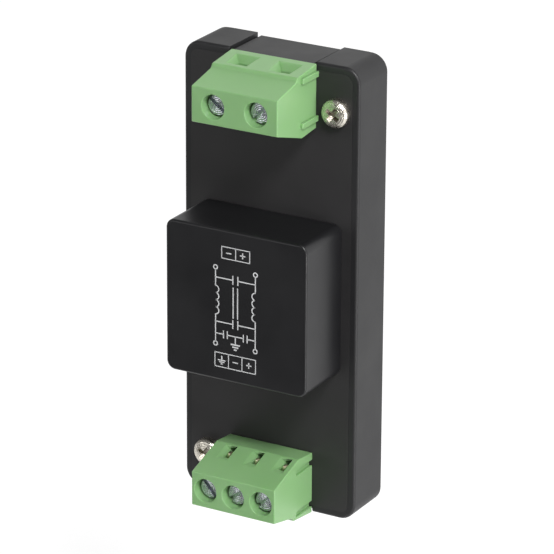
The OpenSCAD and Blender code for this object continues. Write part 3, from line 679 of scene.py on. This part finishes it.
def cell_box(x0, x1, z0, z1, cells):
    """A printed box split into cells by upright strokes."""
    half = BOX_STROKE / 2
    for x in [x0 + (x1 - x0) * i / cells for i in range(cells + 1)]:
        print_bar(x - half, x + half, z0, z1)
    for z in (z0, z1):
        print_bar(x0 - half, x1 + half, z - half, z + half)


def earth_bars(x, z, halves, step, height):
    """The shrinking bars of an earth sign, from the top one at x and z down."""
    for i, half in enumerate(halves):
        middle_z = z - step * i
        print_bar(x - half, x + half, middle_z - height / 2, middle_z + height / 2)


# Boxes for the signs of the load terminals above and the line terminals below
cell_box(-2.48, 2.57, 7.96, 9.9, 2)
cell_box(-3.71, 3.68, -10.4, -8.03, 3)
# Minus and plus in the upper pair of cells, earth, minus and plus in the lower three
SIGN_HALF = 0.48
for x, z, plus in ((-1.2, 8.93, False), (1.3, 8.93, True), (0, -9.2, False), (2.45, -9.2, True)):
    level(x - SIGN_HALF, x + SIGN_HALF, z)
    if plus:
        upright(x, z - SIGN_HALF, z + SIGN_HALF)
print_bar(-2.57, -2.35, -9.2, -8.5)
earth_bars(-2.46, -9.27, (0.7, 0.45, 0.2), 0.3, 0.18)

# The plain circuit of such a filter: two lines through a pair of coils around a core, with a
# terminal at each end, a capacitor across them at each end and two more to earth
LINE_X, LINE_SPANS = 3.6, ((3.2, 5.9), (-6.2, -1.6))
TERMINAL_R, TERMINALS_Z = 0.35, (6.25, -6.55)
COIL_R, COIL_TURNS, COIL_Z = 0.6, 4, -1
CORE_X, CORE_SPAN = 0.4, (-1.8, 3.4)
# Heights of the capacitors across the lines, and their plates and the ends of their leads
CAPACITORS_Z, PLATE_X, PLATE_HALF, LEAD_X = (4.6, -2.8), 0.45, 0.75, 0.5
EARTH_Z, EARTH_PLATES_X, EARTH_PLATE_HALF, EARTH_LEAD_X = -4.8, (2.15, 1.45), 0.65, 2.2
for side in (-1, 1):
    for span in LINE_SPANS:
        upright(side * LINE_X, *span)
    for z in TERMINALS_Z:
        print_arc(side * LINE_X, z, TERMINAL_R, 0, 360)
    for i in range(COIL_TURNS):
        print_arc(side * LINE_X, COIL_Z + 2 * COIL_R * i, COIL_R, -90 * side, -180)
    upright(side * CORE_X, *CORE_SPAN)
    for z in CAPACITORS_Z:
        level(side * LEAD_X, side * LINE_X, z)
        upright(side * PLATE_X, z - PLATE_HALF, z + PLATE_HALF)
    level(side * EARTH_LEAD_X, side * LINE_X, EARTH_Z)
    for x in EARTH_PLATES_X:
        upright(side * x, EARTH_Z - EARTH_PLATE_HALF, EARTH_Z + EARTH_PLATE_HALF)
level(-min(EARTH_PLATES_X), min(EARTH_PLATES_X), EARTH_Z)
upright(0, EARTH_Z - 1.3, EARTH_Z)
earth_bars(0, EARTH_Z - 1.4, (0.85, 0.55, 0.25), 0.42, 0.24)
piece_from(marks, "module_printing", white_ink, body_of["filter_case"])

# Floor, world and lamps

# The flat floor: half its width and depth, how far behind the object its middle lies, and its
# height
FLOOR_HALF, FLOOR_BACK, FLOOR_Z = (1.6, 1.3, 1), 1.2, -0.1
floor_mesh = bmesh.new()
bmesh.ops.create_grid(floor_mesh, x_segments=1, y_segments=1, size=1)
bmesh.ops.scale(floor_mesh, vec=FLOOR_HALF, verts=floor_mesh.verts)
bmesh.ops.translate(floor_mesh, vec=(0, FLOOR_BACK, FLOOR_Z), verts=floor_mesh.verts)
floor = new_object("paper_floor", mesh_from(floor_mesh, "paper_floor"))

# Matt white studio paper: cameras and glossy surfaces see it lifted to white, and its shadows stay
paper, tree = new_material("matt_white_studio_paper")
path = add(tree, "ShaderNodeLightPath")
seen = add(tree, "ShaderNodeMath", {
    0: path.outputs["Is Camera Ray"], 1: path.outputs["Is Glossy Ray"]}, operation="MAXIMUM")
seen = add(tree, "ShaderNodeMath", {
    0: seen.outputs[0], 1: path.outputs["Is Transmission Ray"]}, operation="MAXIMUM")
plain = add(tree, "ShaderNodeBsdfDiffuse", {"Color": linear("#E8E8E8")})
lift = add(tree, "ShaderNodeEmission", {"Color": linear("#FFFFFF"), "Strength": 0.8})
shaded = add(tree, "ShaderNodeBsdfDiffuse", {"Color": linear("#A0A0A0")})
lifted = add(tree, "ShaderNodeAddShader", {0: lift.outputs[0], 1: shaded.outputs[0]})
finish(tree, add(tree, "ShaderNodeMixShader", {
    0: seen.outputs[0], 1: plain.outputs[0], 2: lifted.outputs[0]}))
floor.data.materials.append(paper)

# The studio around: white walls behind and to the right, dim on the photographer's side and
# overhead, and plain white to the camera
STUDIO_AXIS = Vector((0.6, 0.8, 0)).normalized()
world = bpy.data.worlds.new("studio")
bpy.context.scene.world = world
world.use_nodes = True
tree = world.node_tree
tree.nodes.clear()
path = add(tree, "ShaderNodeLightPath")
direction = add(tree, "ShaderNodeTexCoord").outputs["Generated"]
facing = add(tree, "ShaderNodeVectorMath", {0: direction, 1: STUDIO_AXIS}, operation="DOT_PRODUCT")
walls = add(tree, "ShaderNodeMapRange", {
    "Value": facing.outputs["Value"], "From Min": -0.8, "From Max": 0.5,
    "To Min": 0.16, "To Max": 1.15}, interpolation_type="SMOOTHSTEP")
height = add(tree, "ShaderNodeSeparateXYZ", {0: direction})
overhead = add(tree, "ShaderNodeMapRange", {
    "Value": height.outputs["Z"], "From Min": 0.35, "From Max": 0.85,
    "To Min": 1.0, "To Max": 0.4}, interpolation_type="SMOOTHSTEP")
glow = add(tree, "ShaderNodeMath", {
    0: walls.outputs[0], 1: overhead.outputs[0]}, operation="MULTIPLY")
glow = add(tree, "ShaderNodeMath", {
    0: glow.outputs[0], 1: path.outputs["Is Camera Ray"]}, operation="MAXIMUM")
background = add(tree, "ShaderNodeBackground", {
    "Color": linear("#FFFFFF"), "Strength": glow.outputs[0]})
add(tree, "ShaderNodeOutputWorld", {"Surface": background.outputs[0]})


def softbox(name, place, target, size, power):
    """A square lamp of a size in metres and a power in watts that looks at a target."""
    lamp = bpy.data.lights.new(name, "AREA")
    lamp.shape, lamp.size, lamp.energy = "SQUARE", size, power
    back = (Vector(place) - Vector(target)).normalized()
    new_object(name, lamp).matrix_world = (
        Matrix.Translation(place) @ back.to_track_quat("Z", "Y").to_matrix().to_4x4())


softbox("key_softbox", (0.45, -0.42, 0.6), (0, 0, 0), 0.2, 6.1)
softbox("fill_softbox", (-0.5, -0.7, 0.15), (0, 0, 0), 0.5, 1.35)
softbox("low_softbox", (0.5, -0.2, -0.12), (0, 0, -0.03), 0.1, 0.95)

# View settings

bpy.context.scene.view_settings.view_transform = "Standard"
